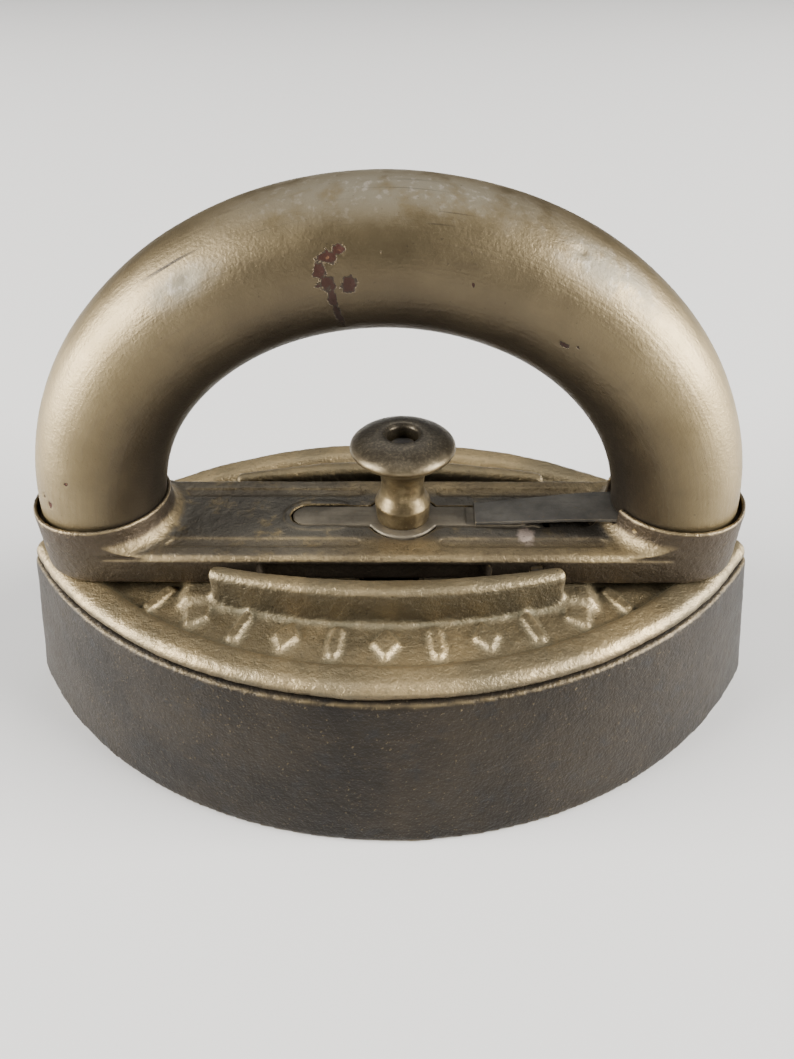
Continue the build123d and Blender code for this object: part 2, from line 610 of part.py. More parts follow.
with BuildPart() as latch_lever:
    with BuildSketch(Plane.XY.offset(LEVER_BOTTOM)):
        with Locations(((TONGUE_END + PIVOT_X) / 2, 0)):
            SlotOverall(PIVOT_X - TONGUE_END, LEVER_WIDTH)
        with Locations((BOSS_X, 0)):
            Circle(BOSS_RADIUS)
    extrude(amount=LEVER_TOP - LEVER_BOTTOM)
    fillet(latch_lever.faces().sort_by(Axis.Z)[-1].edges(), radius=LEVER_ROUND)
    with BuildSketch(Plane.XY.offset(LEVER_TOP)):
        with Locations(((LEVER_STEP_X + PIVOT_X) / 2, 0)):
            Rectangle(PIVOT_X - LEVER_STEP_X, 2 * LEVER_WIDTH)
    extrude(amount=-LEVER_STEP, mode=Mode.SUBTRACT)
    # The eye round the pin, the shank below it and the hook's nose.
    with BuildSketch(Plane.XZ):
        with Locations((PIVOT_X, PIVOT)):
            Circle(EYE_RADIUS)
        with Locations((PIVOT_X, (PIVOT + HOOK_BOTTOM) / 2)):
            Rectangle(HOOK_SHANK, PIVOT - HOOK_BOTTOM)
        with BuildLine():
            Polyline(
                (PIVOT_X, HOOK_BOTTOM),
                (NOSE_END - NOSE_HEIGHT + NOSE_EDGE, HOOK_BOTTOM),
                (NOSE_END, HOOK_BOTTOM + NOSE_HEIGHT - NOSE_EDGE),
                (NOSE_END, HOOK_BOTTOM + NOSE_HEIGHT),
                (PIVOT_X, HOOK_BOTTOM + NOSE_HEIGHT),
                close=True,
            )
        make_face()
    extrude(amount=LEVER_WIDTH / 2, both=True)
    with Locations(Location((PIVOT_X, 0, PIVOT), (90, 0, 0))):
        Cylinder(PIN_RADIUS + RUNNING_GAP, yoke_width, mode=Mode.SUBTRACT)
    with BuildSketch(Plane.XY.offset(LEVER_BOTTOM)):
        with Locations((BOSS_X, 0)):
            Circle(RIVET_RADIUS)
    extrude(amount=LEVER_TOP - LEVER_BOTTOM, mode=Mode.SUBTRACT)
latch_lever.part.label = "latch_lever"
export_step(latch_lever.part, "parts/latch_lever.step")

knob_hole_floor = LEVER_TOP + KNOB_HEIGHT - KNOB_HOLE_DEPTH

with BuildPart() as latch_knob:
    with BuildSketch(Plane.XZ):
        with BuildLine():
            Polyline(
                (BOSS_X, LEVER_TOP),
                (BOSS_X + KNOB_FOOT_RADIUS, LEVER_TOP),
                (BOSS_X + KNOB_BAND_RADIUS, LEVER_TOP + KNOB_BAND_HEIGHT),
                (BOSS_X + KNOB_CONE_RADIUS, LEVER_TOP + KNOB_CONE_HEIGHT),
            )
            Spline(
                (BOSS_X + KNOB_CONE_RADIUS, LEVER_TOP + KNOB_CONE_HEIGHT),
                (BOSS_X + KNOB_NECK_RADIUS, LEVER_TOP + KNOB_NECK_HEIGHT),
                (BOSS_X + KNOB_WAIST_RADIUS, LEVER_TOP + KNOB_WAIST_HEIGHT),
                (BOSS_X + KNOB_RADIUS, LEVER_TOP + KNOB_WIDEST_HEIGHT),
                (BOSS_X + KNOB_CROWN_RADIUS, LEVER_TOP + KNOB_CROWN_HEIGHT),
                (BOSS_X + KNOB_HOLE_RADIUS + KNOB_HOLE_EDGE, LEVER_TOP + KNOB_HEIGHT),
            )
            Polyline(
                (BOSS_X + KNOB_HOLE_RADIUS + KNOB_HOLE_EDGE, LEVER_TOP + KNOB_HEIGHT),
                (BOSS_X + KNOB_HOLE_RADIUS, LEVER_TOP + KNOB_HEIGHT - KNOB_HOLE_EDGE),
                (BOSS_X + KNOB_HOLE_RADIUS, knob_hole_floor),
                (BOSS_X, knob_hole_floor),
                (BOSS_X, LEVER_TOP),
            )
        make_face()
    revolve(axis=Axis((BOSS_X, 0, 0), (0, 0, 1)))
    with BuildSketch(Plane.XY.offset(LEVER_TOP)):
        with Locations((BOSS_X, 0)):
            Circle(RIVET_RADIUS)
    extrude(amount=KNOB_HEIGHT, mode=Mode.SUBTRACT)
latch_knob.part.label = "latch_knob"
export_step(latch_knob.part, "parts/latch_knob.step")

with BuildPart() as knob_rivet:
    with Locations((BOSS_X, 0, LEVER_BOTTOM - RIVET_HEAD_HEIGHT)):
        Cylinder(
            RIVET_RADIUS,
            knob_hole_floor - LEVER_BOTTOM + RIVET_HEAD_HEIGHT,
            align=(Align.CENTER, Align.CENTER, Align.MIN),
        )
        Cylinder(
            RIVET_HEAD_RADIUS,
            RIVET_HEAD_HEIGHT,
            align=(Align.CENTER, Align.CENTER, Align.MIN),
        )
    with Locations((BOSS_X, 0, knob_hole_floor)):
        Cylinder(
            RIVET_END_RADIUS,
            RIVET_END_HEIGHT,
            align=(Align.CENTER, Align.CENTER, Align.MIN),
        )
    fillet(knob_rivet.faces().sort_by(Axis.Z)[-1].edges(), radius=RIVET_ROUND)
    fillet(knob_rivet.faces().sort_by(Axis.Z)[0].edges(), radius=RIVET_ROUND)
knob_rivet.part.label = "knob_rivet"
export_step(knob_rivet.part, "parts/knob_rivet.step")

# ---------------------------------------------------------------- leaf spring

with BuildPart() as leaf_spring:
    with BuildSketch(Plane.XZ):
        with BuildLine():
            underside = Spline(
                (SPRING_TIP_X, SPRING_TIP),
                (SPRING_BEND_X, SPRING_ROOT),
                tangents=((1, SPRING_TIP_SLOPE), (1, 0)),
            )
            foot = Line((SPRING_BEND_X, SPRING_ROOT), (SPRING_END_X, SPRING_ROOT))
            Line(foot @ 1, foot @ 1 + (0, SPRING_THICKNESS))
            Line(foot @ 1 + (0, SPRING_THICKNESS), foot @ 0 + (0, SPRING_THICKNESS))
            add(underside.moved(Location((0, SPRING_THICKNESS, 0))))
            Line(underside @ 0 + (0, SPRING_THICKNESS), underside @ 0)
        make_face()
    extrude(amount=SPRING_ROOT_WIDTH / 2, both=True)
    with BuildSketch(Plane.XY.offset(SPRING_TIP)):
        with BuildLine():
            Polyline(
                (SPRING_TIP_X, -SPRING_TIP_WIDTH / 2),
                (SPRING_BEND_X, -SPRING_ROOT_WIDTH / 2),
                (SPRING_END_X, -SPRING_ROOT_WIDTH / 2),
                (SPRING_END_X, SPRING_ROOT_WIDTH / 2),
                (SPRING_BEND_X, SPRING_ROOT_WIDTH / 2),
                (SPRING_TIP_X, SPRING_TIP_WIDTH / 2),
                close=True,
            )
        make_face()
    extrude(amount=SPRING_ROOT + SPRING_THICKNESS - SPRING_TIP, mode=Mode.INTERSECT)
leaf_spring.part.label = "leaf_spring"
export_step(leaf_spring.part, "parts/leaf_spring.step")
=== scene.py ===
import math

import bmesh
import bpy
from mathutils import Matrix, Vector, noise


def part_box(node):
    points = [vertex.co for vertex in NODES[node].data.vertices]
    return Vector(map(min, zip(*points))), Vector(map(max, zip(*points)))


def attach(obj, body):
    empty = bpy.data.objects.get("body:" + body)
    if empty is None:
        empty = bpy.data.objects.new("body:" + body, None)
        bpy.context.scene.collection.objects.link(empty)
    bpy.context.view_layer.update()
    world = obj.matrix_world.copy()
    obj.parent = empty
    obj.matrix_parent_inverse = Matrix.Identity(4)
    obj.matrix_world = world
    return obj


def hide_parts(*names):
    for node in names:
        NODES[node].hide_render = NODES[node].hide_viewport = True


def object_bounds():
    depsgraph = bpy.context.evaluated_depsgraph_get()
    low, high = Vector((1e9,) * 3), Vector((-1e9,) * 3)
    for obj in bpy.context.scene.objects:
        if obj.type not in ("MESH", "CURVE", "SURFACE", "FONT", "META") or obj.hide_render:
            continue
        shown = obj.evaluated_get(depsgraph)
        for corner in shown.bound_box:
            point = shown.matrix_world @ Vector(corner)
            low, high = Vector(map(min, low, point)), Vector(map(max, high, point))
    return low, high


# A gilt sad iron with a cold handle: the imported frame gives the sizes, this script gives the looks.

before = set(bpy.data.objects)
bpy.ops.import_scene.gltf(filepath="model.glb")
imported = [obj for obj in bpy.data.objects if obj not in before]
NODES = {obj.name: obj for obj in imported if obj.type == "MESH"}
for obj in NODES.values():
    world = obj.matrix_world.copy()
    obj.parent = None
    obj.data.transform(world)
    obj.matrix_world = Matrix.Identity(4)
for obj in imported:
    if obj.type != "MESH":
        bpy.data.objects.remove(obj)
cad_low, cad_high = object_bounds()

MM = 0.001

yoke_low, yoke_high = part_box("handle_yoke")
grip_low, grip_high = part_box("wooden_grip")
GRIP_RADIUS = (grip_high.y - grip_low.y) / 2
GRIP_SPAN = (grip_high.x - grip_low.x) / 2 - GRIP_RADIUS
SEAT = yoke_high.z - 2.6 * MM  # where the feet of the grip stand


# ---------------------------------------------------------------- shader helpers


def new_material(name, metallic, coat=0.0, specular=0.5):
    """A material with a Principled shader; what is the same all over is set on its sockets."""
    material = bpy.data.materials.new(name)
    material.use_nodes = True
    surface = material.node_tree.nodes["Principled BSDF"]
    surface.inputs["Metallic"].default_value = metallic
    surface.inputs["Coat Weight"].default_value = coat
    surface.inputs["Coat Roughness"].default_value = 0.35
    surface.inputs["Specular IOR Level"].default_value = specular
    return material, material.node_tree, surface


def feed(tree, socket, value):
    """Links an output to a socket, or sets the socket's own value."""
    if isinstance(value, bpy.types.NodeSocket):
        tree.links.new(value, socket)
    else:
        socket.default_value = value


def object_coordinates(tree):
    return tree.nodes.new("ShaderNodeTexCoord").outputs["Object"]


def stretched(tree, vector, scale):
    """Coordinates scaled along each axis, which turns grains into streaks."""
    node = tree.nodes.new("ShaderNodeMapping")
    tree.links.new(vector, node.inputs["Vector"])
    node.inputs["Scale"].default_value = scale
    return node.outputs["Vector"]


def grain(tree, vector, size, detail=4.0, roughness=0.55, warp=0.0):
    """Noise whose patches are about size metres across."""
    node = tree.nodes.new("ShaderNodeTexNoise")
    tree.links.new(vector, node.inputs["Vector"])
    node.inputs["Scale"].default_value = 1 / size
    node.inputs["Detail"].default_value = detail
    node.inputs["Roughness"].default_value = roughness
    node.inputs["Distortion"].default_value = warp
    return node.outputs["Fac"]


def pits(tree, vector, size):
    """The distance to scattered points about size metres apart."""
    node = tree.nodes.new("ShaderNodeTexVoronoi")
    tree.links.new(vector, node.inputs["Vector"])
    node.inputs["Scale"].default_value = 1 / size
    return node.outputs["Distance"]


def step(tree, value, low, high):
    """0 below low, 1 above high and smooth between; low may be the larger."""
    node = tree.nodes.new("ShaderNodeMapRange")
    node.interpolation_type = "SMOOTHSTEP"
    flipped = low > high
    feed(tree, node.inputs["Value"], value)
    node.inputs["From Min"].default_value = min(low, high)
    node.inputs["From Max"].default_value = max(low, high)
    node.inputs["To Min"].default_value = 1.0 if flipped else 0.0
    node.inputs["To Max"].default_value = 0.0 if flipped else 1.0
    return node.outputs["Result"]


def maths(tree, operation, a, b):
    node = tree.nodes.new("ShaderNodeMath")
    node.operation = operation
    feed(tree, node.inputs[0], a)
    feed(tree, node.inputs[1], b)
    return node.outputs[0]


def blend(tree, amount, under, over):
    """One colour laid over another."""
    node = tree.nodes.new("ShaderNodeMix")
    node.data_type = "RGBA"
    feed(tree, node.inputs[0], amount)
    feed(tree, node.inputs[6], under)
    feed(tree, node.inputs[7], over)
    return node.outputs[2]


def facing(tree):
    """How far a face looks up, from -1 to 1."""
    normal = tree.nodes.new("ShaderNodeTexCoord").outputs["Normal"]
    split = tree.nodes.new("ShaderNodeSeparateXYZ")
    tree.links.new(normal, split.inputs[0])
    return split.outputs["Z"]


def height(tree):
    """Height above the floor at rest, in metres."""
    split = tree.nodes.new("ShaderNodeSeparateXYZ")
    tree.links.new(object_coordinates(tree), split.inputs[0])
    return split.outputs["Z"]


def edges(tree):
    """Above a half on edges, below a half in corners."""
    return tree.nodes.new("ShaderNodeNewGeometry").outputs["Pointiness"]


def bump(tree, surface, layers):
    """Bump from several (height, strength, depth in metres) layers, finest last."""
    normal = None
    for value, strength, depth in layers:
        node = tree.nodes.new("ShaderNodeBump")
        node.inputs["Strength"].default_value = strength
        node.inputs["Distance"].default_value = depth
        tree.links.new(value, node.inputs["Height"])
        if normal is not None:
            tree.links.new(normal, node.inputs["Normal"])
        normal = node.outputs["Normal"]
    tree.links.new(normal, surface.inputs["Normal"])


def rgb(red, green, blue):
    return (red, green, blue, 1.0)


# ---------------------------------------------------------------- materials

GOLD = rgb(0.30, 0.228, 0.118)
GOLD_LIGHT = rgb(0.47, 0.355, 0.175)
BRONZE = rgb(0.17, 0.13, 0.08)
UMBER = rgb(0.055, 0.042, 0.03)
SLATE = rgb(0.10, 0.098, 0.09)
IRON = rgb(0.014, 0.014, 0.014)
# near black: soot in the black scratches and pits, and painted shade in the corners
SOOT_AND_SHADE = rgb(0.018, 0.016, 0.015)
CHIP_RED = rgb(0.060, 0.025, 0.018)
CHIP_WOOD = rgb(0.42, 0.22, 0.11)
CHALK = rgb(0.62, 0.56, 0.50)

SCUFF_PLACE = (27.2 * MM, -3.7 * MM, yoke_high.z - 5.7 * MM)  # its second number is 0.6 of the real one


def gilt_casting(name, high, low, grime_and_shade, grime_share, side_shade_share):
    """Bronze paint on a sand casting: blotches, flecks and grime, painted highlights on the raised grains and
    on the edges, where the paint is also rubbed, painted shade on faces that look sideways or down, and
    painted shade with grime in the corners.
    """
    material, tree, surface = new_material(name, 0.93)
    at = object_coordinates(tree)
    blotches = grain(tree, at, 26 * MM, 5, 0.6)
    mottle = grain(tree, at, 5 * MM, 6, 0.65)
    flecks = grain(tree, at, 0.38 * MM, 2, 0.5)
    sand = grain(tree, at, 0.9 * MM, 4, 0.6)
    holes = pits(tree, at, 2.6 * MM)
    colour = blend(tree, step(tree, blotches, 0.36, 0.64), low, high)
    colour = blend(tree, maths(tree, "MULTIPLY", step(tree, mottle, 0.5, 0.68), 0.55), colour, low)
    # painted highlight: lighter gold on the raised grains of the sand texture
    colour = blend(tree, maths(tree, "MULTIPLY", step(tree, sand, 0.56, 0.70), 0.3), colour, GOLD_LIGHT)
    colour = blend(tree, maths(tree, "MULTIPLY", step(tree, sand, 0.44, 0.30), 0.4), colour, grime_and_shade)
    # painted shade: faces that look sideways or down are darkened
    side_shade = maths(tree, "MULTIPLY", step(tree, facing(tree), 0.50, 0.12), side_shade_share)
    colour = blend(tree, side_shade, colour, rgb(0.034, 0.028, 0.023))
    if name == "yoke_paint":
        colour = handled_wear_and_cup_shade(tree, at, mottle, colour)
    dirt = maths(tree, "MULTIPLY", step(tree, blotches, 0.62, 0.40), grime_share)
    colour = blend(tree, dirt, colour, grime_and_shade)
    # painted shade with grime: darker in the corners
    grimy_shaded_corners = step(tree, edges(tree), 0.497, 0.455)
    colour = blend(tree, maths(tree, "MULTIPLY", grimy_shaded_corners, 0.85), colour, grime_and_shade)
    # painted highlight on the edges, together with rubbed paint: the edges lightened to pale gold
    highlit_edges = step(tree, edges(tree), 0.52, 0.60)
    rubbed_and_highlit = maths(tree, "MULTIPLY", highlit_edges, step(tree, mottle, 0.62, 0.42))
    colour = blend(tree, maths(tree, "MULTIPLY", rubbed_and_highlit, 0.35), colour, GOLD_LIGHT)
    colour = blend(tree, maths(tree, "MULTIPLY", step(tree, flecks, 0.68, 0.80), 0.12), colour, GOLD_LIGHT)
    colour = blend(tree, maths(tree, "MULTIPLY", step(tree, holes, 0.11, 0.05), 0.4), colour, SOOT_AND_SHADE)
    tree.links.new(colour, surface.inputs["Base Color"])
    dull = maths(tree, "MULTIPLY_ADD", mottle, 0.22)
    dull.node.inputs[2].default_value = 0.38
    dull_corners = maths(tree, "MULTIPLY", grimy_shaded_corners, 0.2)
    tree.links.new(maths(tree, "ADD", dull, dull_corners), surface.inputs["Roughness"])
    bump(tree, surface, [
        (mottle, 0.45, 0.6 * MM),
        (step(tree, holes, 0.04, 0.14), 0.4, 0.14 * MM),
        (sand, 0.8, 0.32 * MM),
        (grain(tree, at, 0.5 * MM, 2, 0.5), 0.5, 0.11 * MM),
    ])
    return material


def handled_wear_and_cup_shade(tree, at, mottle, colour):
    """The top of the yoke, rubbed to grey metal round the latch and towards the left cup; painted shade
    darkens the upper part of the cups.
    """
    split = tree.nodes.new("ShaderNodeSeparateXYZ")
    tree.links.new(at, split.inputs[0])
    middle_strip = step(tree, maths(tree, "ABSOLUTE", split.outputs["Y"], 0.0), 9.5 * MM, 6.0 * MM)
    left_part = maths(tree, "MULTIPLY", step(tree, split.outputs["X"], 0.0, -16 * MM), 0.8)
    rubbed_and_highlit = maths(tree, "MAXIMUM", middle_strip, left_part)
    upward = maths(tree, "MULTIPLY", step(tree, facing(tree), 0.80, 0.97), step(tree, mottle, 0.28, 0.48))
    grey = maths(tree, "MULTIPLY", maths(tree, "MULTIPLY", upward, rubbed_and_highlit), 0.85)
    colour = blend(tree, grey, colour, SLATE)
    # painted shade: the upper part of the cups is darkened
    cup_shade = step(tree, split.outputs["Z"], yoke_high.z - 5.6 * MM, yoke_high.z - 3.0 * MM)
    colour = blend(tree, maths(tree, "MULTIPLY", cup_shade, 0.5), colour, UMBER)
    away = tree.nodes.new("ShaderNodeVectorMath")
    away.operation = "DISTANCE"
    tree.links.new(stretched(tree, at, (1.0, 0.6, 1.0)), away.inputs[0])
    away.inputs[1].default_value = SCUFF_PLACE
    ragged = maths(tree, "ADD", away.outputs["Value"], maths(tree, "MULTIPLY", mottle, 4.4 * MM))
    scuff = maths(tree, "MULTIPLY", step(tree, ragged, 4.5 * MM, 3.7 * MM), 0.9)
    return blend(tree, scuff, colour, rgb(0.62, 0.50, 0.42))


def body_paint():
    """Dull bronze paint on the wall of the body, with gold grit, a painted highlight on the edges, painted
    shade in the corners, and bare iron on the sole.
    """
    material, tree, surface = new_material("body_paint", 0.5, specular=0.24)
    at = object_coordinates(tree)
    blotches = grain(tree, at, 30 * MM, 5, 0.6)
    brushed = grain(tree, stretched(tree, at, (0.3, 0.3, 1.0)), 1.2 * MM, 4, 0.6)
    mottle = grain(tree, at, 4 * MM, 6, 0.65)
    flecks = grain(tree, at, 0.5 * MM, 2, 0.5)
    crooked = tree.nodes.new("ShaderNodeVectorMath")
    crooked.operation = "ADD"
    tree.links.new(at, crooked.inputs[0])
    tree.links.new(maths(tree, "MULTIPLY", flecks, 1.2 * MM), crooked.inputs[1])
    grit_size = pits(tree, crooked.outputs[0], 1.15 * MM)
    dark = rgb(0.0100, 0.0082, 0.0064)
    light = rgb(0.022, 0.0172, 0.0118)
    colour = blend(tree, step(tree, blotches, 0.35, 0.66), dark, light)
    colour = blend(tree, maths(tree, "MULTIPLY", step(tree, brushed, 0.5, 0.75), 0.05), colour, BRONZE)
    colour = blend(tree, maths(tree, "MULTIPLY", step(tree, mottle, 0.46, 0.30), 0.6), colour, IRON)
    gritty = maths(tree, "MULTIPLY", step(tree, grit_size, 0.20, 0.10), step(tree, mottle, 0.48, 0.60))
    colour = blend(tree, maths(tree, "MULTIPLY", gritty, 0.25), colour, GOLD)
    colour = blend(tree, maths(tree, "MULTIPLY", step(tree, flecks, 0.65, 0.76), 0.22), colour, GOLD)
    # painted highlight: the edges are lightened to pale gold
    rubbed_and_highlit = maths(tree, "MULTIPLY", step(tree, edges(tree), 0.52, 0.60), 0.9)
    colour = blend(tree, rubbed_and_highlit, colour, GOLD_LIGHT)
    # painted shade: darker in the corners
    colour = blend(tree, step(tree, edges(tree), 0.48, 0.43), colour, SOOT_AND_SHADE)
    scratches = grain(tree, stretched(tree, at, (0.05, 1.0, 1.0)), 0.7 * MM, 3, 0.6)
    bare = blend(tree, step(tree, scratches, 0.4, 0.7), rgb(0.17, 0.165, 0.16), rgb(0.42, 0.41, 0.40))
    rusty = maths(tree, "MULTIPLY", step(tree, blotches, 0.56, 0.66), 0.7)
    bare = blend(tree, rusty, bare, rgb(0.10, 0.06, 0.04))
    sole = step(tree, height(tree), 0.5 * MM, 0.1 * MM)
    colour = blend(tree, sole, colour, bare)
    tree.links.new(colour, surface.inputs["Base Color"])
    dull = maths(tree, "MULTIPLY_ADD", mottle, 0.24)
    dull.node.inputs[2].default_value = 0.33
    polish = maths(tree, "MULTIPLY", sole, 0.22)
    tree.links.new(maths(tree, "SUBTRACT", dull, polish), surface.inputs["Roughness"])
    bump(tree, surface, [
        (mottle, 0.3, 0.35 * MM),
        (brushed, 0.2, 0.06 * MM),
        (step(tree, grit_size, 0.26, 0.08), 0.35, 0.09 * MM),
        (grain(tree, at, 0.9 * MM, 4, 0.6), 0.8, 0.22 * MM),
        (flecks, 0.7, 0.14 * MM),
    ])
    return material


def painted_wood():
    """Gold paint over the wooden grip: brush lines along it, black scratches, scuffs and chips, with painted
    shade on the inner side and towards the top of the arch.
    """
    material, tree, surface = new_material("painted_wood", 0.9)
    at = object_coordinates(tree)
    along = tree.nodes.new("ShaderNodeAttribute")
    along.attribute_name = "grip_place"
    place = along.outputs["Vector"]
    wear = tree.nodes.new("ShaderNodeAttribute")
    wear.attribute_name = "grip_wear"
    marks = tree.nodes.new("ShaderNodeSeparateXYZ")
    tree.links.new(wear.outputs["Vector"], marks.inputs[0])
    chip_field, scratch_field, scuff_field = marks.outputs[0], marks.outputs[1], marks.outputs[2]
    blotches = grain(tree, at, 34 * MM, 5, 0.6)
    mottle = grain(tree, at, 6 * MM, 6, 0.65)
    fine = grain(tree, at, 1.4 * MM, 4, 0.6)
    lines = grain(tree, stretched(tree, place, (0.06, 1.0, 1.0)), 0.8 * MM, 4, 0.6)
    long_lines = grain(tree, stretched(tree, place, (0.035, 1.0, 1.0)), 1.1 * MM, 3, 0.5, 0.4)
    specks = grain(tree, at, 0.6 * MM, 2, 0.5)
    colour = blend(tree, step(tree, blotches, 0.35, 0.66), rgb(0.180, 0.137, 0.067), rgb(0.250, 0.195, 0.103))
    colour = blend(tree, maths(tree, "MULTIPLY", step(tree, lines, 0.5, 0.74), 0.30), colour, BRONZE)
    # painted shade: darker towards the top of the arch
    arch_top_shade = step(tree, height(tree), grip_high.z - 34 * MM, grip_high.z - 10 * MM)
    colour = blend(tree, maths(tree, "MULTIPLY", arch_top_shade, 0.50), colour, rgb(0.060, 0.046, 0.030))
    worn = maths(tree, "MULTIPLY", step(tree, scuff_field, 0.05, 0.9), step(tree, mottle, 0.34, 0.56))
    colour = blend(tree, maths(tree, "MULTIPLY", worn, 0.75), colour, rgb(0.17, 0.155, 0.12))
    scuffed = maths(tree, "MULTIPLY", worn, step(tree, fine, 0.55, 0.66))
    colour = blend(tree, maths(tree, "MULTIPLY", scuffed, 0.14), colour, CHALK)
    black = maths(tree, "MULTIPLY", step(tree, scratch_field, 0.1, 0.8), step(tree, long_lines, 0.60, 0.66))
    colour = blend(tree, maths(tree, "MULTIPLY", black, 0.85), colour, SOOT_AND_SHADE)
    colour = blend(tree, maths(tree, "MULTIPLY", step(tree, specks, 0.70, 0.75), 0.5), colour, UMBER)
    ragged = maths(tree, "ADD", chip_field, maths(tree, "MULTIPLY", maths(tree, "SUBTRACT", fine, 0.5), 1.5))
    rim = step(tree, ragged, 0.36, 0.44)
    bare = step(tree, ragged, 0.50, 0.56)
    colour = blend(tree, rim, colour, UMBER)
    wood = blend(tree, step(tree, ragged, 0.85, 1.05), CHIP_RED, CHIP_WOOD)
    colour = blend(tree, bare, colour, wood)
    # painted shade: the inner side of the bow, facing into the handle, is darkened
    split = tree.nodes.new("ShaderNodeSeparateXYZ")
    tree.links.new(place, split.inputs[0])
    inwards = maths(tree, "MULTIPLY", split.outputs["Y"], -1 / GRIP_RADIUS)
    from_inside = maths(tree, "MULTIPLY", maths(tree, "ARCCOSINE", inwards, 0.0), GRIP_RADIUS)
    inner = maths(tree, "ADD", from_inside, maths(tree, "MULTIPLY", mottle, 5 * MM))
    inner = step(tree, inner, 33 * MM, 11 * MM)
    colour = blend(tree, maths(tree, "MULTIPLY", inner, 0.88), colour, rgb(0.026, 0.022, 0.020))
    tree.links.new(colour, surface.inputs["Base Color"])
    dull = maths(tree, "MULTIPLY_ADD", mottle, 0.2)
    dull.node.inputs[2].default_value = 0.34
    worn_dull = maths(tree, "MULTIPLY", maths(tree, "ADD", worn, rim), 0.16)
    tree.links.new(maths(tree, "ADD", dull, worn_dull), surface.inputs["Roughness"])
    bump(tree, surface, [
        (mottle, 0.12, 0.3 * MM),
        (lines, 0.32, 0.16 * MM),
        (maths(tree, "SUBTRACT", 1.0, rim), 0.8, 0.18 * MM),
        (fine, 0.35, 0.13 * MM),
        (grain(tree, at, 0.6 * MM, 3, 0.6), 0.6, 0.11 * MM),
    ])
    return material


def bare_steel(name, light, dark, metallic, roughness, streaks):
    """Worn steel with a brown-black skin: streaks along it, a painted highlight in gold on the edges, where
    the steel is also rubbed, and painted shade in the corners.
    """
    material, tree, surface = new_material(name, metallic)
    at = object_coordinates(tree)
    blotches = grain(tree, at, 9 * MM, 5, 0.6)
    fine = grain(tree, at, 0.8 * MM, 4, 0.6)
    drawn = grain(tree, stretched(tree, at, streaks), 0.7 * MM, 4, 0.6)
    colour = blend(tree, step(tree, blotches, 0.34, 0.66), dark, light)
    colour = blend(tree, maths(tree, "MULTIPLY", step(tree, drawn, 0.52, 0.72), 0.45), colour, dark)
    colour = blend(tree, maths(tree, "MULTIPLY", step(tree, fine, 0.60, 0.70), 0.5), colour, BRONZE)
    # painted highlight with rubbing: the edges lightened to gold; then painted shade: the corners darkened
    colour = blend(tree, maths(tree, "MULTIPLY", step(tree, edges(tree), 0.52, 0.60), 0.6), colour, GOLD)
    colour = blend(tree, maths(tree, "MULTIPLY", step(tree, edges(tree), 0.49, 0.44), 0.9), colour, SOOT_AND_SHADE)
    tree.links.new(colour, surface.inputs["Base Color"])
    dull = maths(tree, "MULTIPLY_ADD", fine, 0.25)
    dull.node.inputs[2].default_value = roughness
    tree.links.new(dull, surface.inputs["Roughness"])
    bump(tree, surface, [(blotches, 0.25, 0.4 * MM), (drawn, 0.3, 0.1 * MM), (fine, 0.4, 0.1 * MM)])
    return material


def knob_paint(knob_top):
    """Gold paint worn to dark iron on the crown, where a thumb lifts it, with painted shade in the corners.
    """
    material, tree, surface = new_material("knob_paint", 0.88)
    at = object_coordinates(tree)
    mottle = grain(tree, at, 3.2 * MM, 6, 0.65)
    fine = grain(tree, at, 0.5 * MM, 3, 0.6)
    turned = grain(tree, stretched(tree, at, (0.1, 0.1, 1.0)), 0.6 * MM, 3, 0.6)
    colour = blend(tree, step(tree, mottle, 0.38, 0.62), rgb(0.115, 0.087, 0.046), rgb(0.20, 0.155, 0.083))
    colour = blend(tree, maths(tree, "MULTIPLY", step(tree, turned, 0.5, 0.7), 0.3), colour, BRONZE)
    lift = maths(tree, "ADD", height(tree), maths(tree, "MULTIPLY", mottle, 3 * MM))
    crown = step(tree, lift, knob_top - 3.4 * MM, knob_top + 2.6 * MM)
    dark = blend(tree, step(tree, fine, 0.4, 0.65), rgb(0.082, 0.073, 0.060), rgb(0.150, 0.130, 0.098))
    colour = blend(tree, crown, colour, dark)
    # painted shade: darker in the corners
    colour = blend(tree, maths(tree, "MULTIPLY", step(tree, edges(tree), 0.49, 0.42), 0.9), colour, SOOT_AND_SHADE)
    colour = blend(tree, maths(tree, "MULTIPLY", step(tree, fine, 0.66, 0.72), 0.5), colour, GOLD_LIGHT)
    tree.links.new(colour, surface.inputs["Base Color"])
    dull = maths(tree, "MULTIPLY_ADD", mottle, 0.2)
    dull.node.inputs[2].default_value = 0.32
    tree.links.new(dull, surface.inputs["Roughness"])
    bump(tree, surface, [(mottle, 0.3, 0.4 * MM), (turned, 0.25, 0.1 * MM), (fine, 0.35, 0.08 * MM)])
    return material


def plaster():
    """The crumbly insulating filling under the cap."""
    material, tree, surface = new_material("plaster", 0.0)
    at = object_coordinates(tree)
    lumps = grain(tree, at, 3 * MM, 6, 0.7)
    crumbs = pits(tree, at, 1.2 * MM)
    colour = blend(tree, step(tree, lumps, 0.35, 0.65), rgb(0.42, 0.39, 0.34), rgb(0.66, 0.63, 0.57))
    colour = blend(tree, maths(tree, "MULTIPLY", step(tree, crumbs, 0.3, 0.1), 0.5), colour, UMBER)
    tree.links.new(colour, surface.inputs["Base Color"])
    tree.links.new(step(tree, lumps, -1.0, 0.6), surface.inputs["Roughness"])
    bump(tree, surface, [(lumps, 0.7, 1.0 * MM), (crumbs, 0.6, 0.4 * MM)])
    return material


# ---------------------------------------------------------------- mesh helpers


